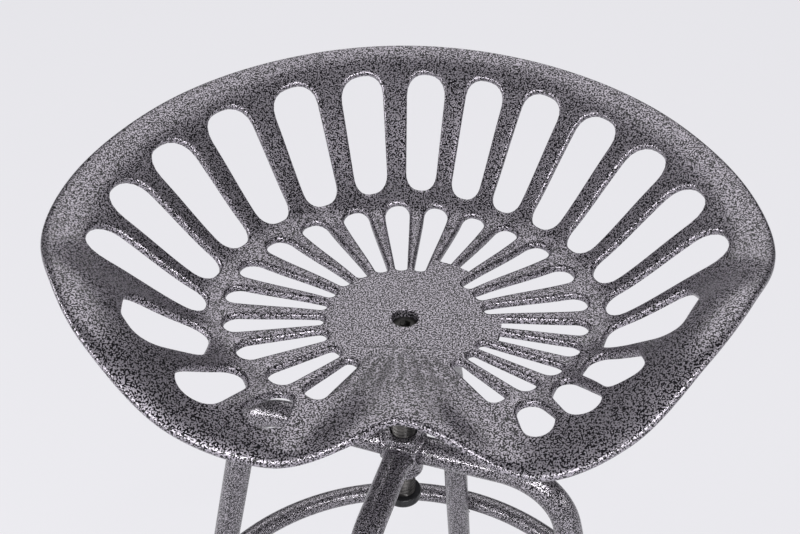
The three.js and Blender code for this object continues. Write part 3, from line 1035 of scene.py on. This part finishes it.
# short beads above and below the place where a leg touches the ring
def ringBeads(bend, seed):
    parts = []
    touch = bend.reach(ringMiddle) + leg["radius"] / math.cos(bend.splay)
    shares = [k / 8 - 1 for k in range(17)]  # -1 and 1 at a bead's ends
    for side in (-1, 1):
        lean = math.tan(bend.splay) * bead["ringLift"] * side
        path = []
        for share in shares:
            along = share * bead["ringLength"] / 2
            out = touch - lean - bead["ringInset"] - along**2 / bead["ringCurve"]
            path.append(Vector((out, along, ringMiddle + bead["ringLift"] * side)))
        radii = rippled(path, bead["radius"] * bead["ringShare"], seed + side)
        for k, share in enumerate(shares):
            radii[k] *= math.sqrt(max(bead["ringTip"], 1 - share**2))
        parts.append(swept(path, radii, 10))
    return joined(*parts)


foot = {
    "wall": 3.2,
    "flare": 1.0,
    "flareEnd": 6.5,
    "wallStart": 9.5,
    "taper": 0.8,
    "grip": 0.4,
    "length": 30.0,
    "below": 5.0,  # cut off level with the floor
    "rounds": [0, 1.6, 2.0, 1.2, 0],
}


def rubberFoot(bend):
    f = foot
    bore = leg["radius"] + gap
    outside = bore + f["wall"]
    profile = corners(
        (outside + f["flare"], -f["below"]), (outside + f["flare"], f["flareEnd"]),
        (outside, f["wallStart"]), (outside - f["taper"], f["length"]),
        (bore - f["grip"], f["length"]),
    )
    points, faces = turnedSolid(roundedOutline(profile, f["rounds"]), 56)
    lean = Matrix.Rotation(-bend.splay, 3, "Y")
    shift = Vector((bend.reach(0), 0, 0))
    moved = [lean @ Vector(p) + shift for p in points]
    return [Vector((p.x, p.y, max(0.0, p.z))) for p in moved], faces


def turnedTo(part, angle):
    spin = Matrix.Rotation(angle, 3, "Z")
    points, faces = part
    return [spin @ Vector(p) for p in points], faces


for i, (place, turn) in enumerate(leg["turn"].items()):
    bend = Bend(place)
    angle = -math.radians(90 + turn + 90 * i)
    tube = turnedTo(swept(bend.path(), leg["radius"], leg["sides"]), angle)
    addPiece(f"{place}_leg", *tube, tubePaint, "base", "frame_paint", [f"leg_{place}"])
    beads = turnedTo(joined(hubBead(i), ringBeads(bend, i)), angle)
    addPiece(f"{place}_welds", *beads, tubePaint, "base", "frame_paint")
    ferrule = turnedTo(rubberFoot(bend), angle)
    addPiece(f"{place}_foot", *ferrule, rubber, "base", "black_rubber", [f"foot_{place}"])


def footRing():
    path = [Vector((p.x, p.y, ringMiddle)) for p in circle(ringRadius, ring["steps"])]
    return swept(path, ring["tube"], ring["sides"], True)


addPiece("round_foot_ring", *footRing(), tubePaint, "base", "frame_paint", ["foot_ring"])
print("base made")

view = {
    "distance": 0.828,  # metres, from the disc
    "elevation": 39.0,
    "azimuth": 1.8,
    "roll": 0.7,
    "pan": 0.22,
    "tilt": -2.247,
    "focal": 58.5,
    "sensor": 36.0,
    "farthest": 30.0,
}


def addCamera():
    up, around = math.radians(view["elevation"]), math.radians(view["azimuth"])
    right = Vector((math.cos(around), math.sin(around), 0))
    back = Vector((
        math.sin(around) * math.cos(up),
        -math.cos(around) * math.cos(up),
        math.sin(up),
    ))
    ahead = -back
    upward = right.cross(ahead)
    base = Matrix((right, upward, ahead)).transposed()
    roll = Matrix.Rotation(math.radians(view["roll"]), 3, "Z")
    tilt = Matrix.Rotation(math.radians(view["tilt"]), 3, "X")
    turn = Matrix.Rotation(-math.radians(view["pan"]), 3, "Y")
    axes = (base @ roll @ tilt @ turn).transposed()
    pose = Matrix((axes[0], axes[1], -axes[2])).transposed().to_4x4()
    pose.translation = back * view["distance"] + Vector((0, 0, discTop * mm))
    camera = bpy.data.cameras.new("camera")
    camera.lens = view["focal"]
    camera.sensor_width = view["sensor"]
    camera.clip_end = view["farthest"]
    holder = bpy.data.objects.new("camera", camera)
    holder.matrix_world = pose
    bpy.context.scene.collection.objects.link(holder)
    bpy.context.scene.camera = holder


addCamera()

lamps = {
    "key": {"place": (0.75, -1.3, 1.6), "size": (1.3, 0.2), "power": 11.5},
    "left": {"place": (-1.5, -0.2, 0.95), "size": (1.6, 0.2), "power": 10.0},
    "right": {"place": (2.4, -0.5, 0.85), "size": (2.4, 0.2), "power": 7.0},
    "front": {"place": (-0.3, -2.0, 1.1), "size": (3.4, 0.2), "power": 30.0},
    "above": {"place": (0.0, 1.5, 2.25), "size": (1.3, 2.5), "power": 12.0},
}


def addLamp(name, place, size, power):
    light = bpy.data.lights.new(name, "AREA")
    light.shape = "RECTANGLE"
    light.size, light.size_y = size
    light.energy = power
    holder = bpy.data.objects.new(name, light)
    holder.location = place
    aim = Vector((0, 0, discTop * mm)) - holder.location
    holder.rotation_euler = aim.to_track_quat("-Z", "Y").to_euler()
    bpy.context.scene.collection.objects.link(holder)


for name, lamp in lamps.items():
    addLamp(name, **lamp)

surroundings = {
    "floor": (0.8, 0.8, 0.82),
    "floorHalf": 12.0,  # metres
    "floorTop": -0.2,  # just under the soles
    "shown": (0.9, 0.893, 0.935),
    "shownShare": 0.82,
    "mirrored": 0.3,
    "sky": 0.11,
    "skyShown": 0.89,
}


# 1 for what the camera sees straight or through a hole, less for what the paint mirrors
def seenDirectly(shader):
    ray = shader.node("ShaderNodeLightPath", output="Is Camera Ray")
    glossy = shader.node("ShaderNodeLightPath", output="Is Glossy Ray")
    through = shader.node("ShaderNodeLightPath", output="Is Transmission Ray")
    return (ray + glossy * surroundings["mirrored"] + through).clamped()


def addFloor():
    shader = Shader("pale floor")
    seen = seenDirectly(shader) * surroundings["shownShare"]
    lit = shader.node("ShaderNodeBsdfDiffuse", None, {"Color": surroundings["floor"]})
    bright = {"Color": surroundings["shown"], "Strength": 1.0}
    glow = shader.node("ShaderNodeEmission", None, bright)
    both = shader.node("ShaderNodeMixShader", None, {0: seen, 1: lit, 2: glow})
    shader.node("ShaderNodeOutputMaterial", None, {"Surface": both})
    mesh = bpy.data.meshes.new("floor")
    far, top = surroundings["floorHalf"], surroundings["floorTop"] * mm
    points = [(-far, -far, top), (far, -far, top), (far, far, top), (-far, far, top)]
    mesh.from_pydata(points, [], [(0, 1, 2, 3)])
    mesh.materials.append(shader.material)
    floor = bpy.data.objects.new("floor", mesh)
    bpy.context.scene.collection.objects.link(floor)


def addSky():
    world = bpy.data.worlds.new("studio")
    bpy.context.scene.world = world
    shader = Shader("studio", world)
    ray = shader.node("ShaderNodeLightPath", output="Is Camera Ray")
    through = shader.node("ShaderNodeLightPath", output="Is Transmission Ray")
    dim, shown = surroundings["sky"], surroundings["skyShown"]
    bright = {"Color": surroundings["shown"], "Strength": dim + (shown - dim) * (ray + through)}
    sky = shader.node("ShaderNodeBackground", None, bright)
    shader.node("ShaderNodeOutputWorld", None, {"Surface": sky})


addFloor()
addSky()
bpy.context.scene.view_settings.view_transform = "Standard"
print("camera, lamps and floor set")
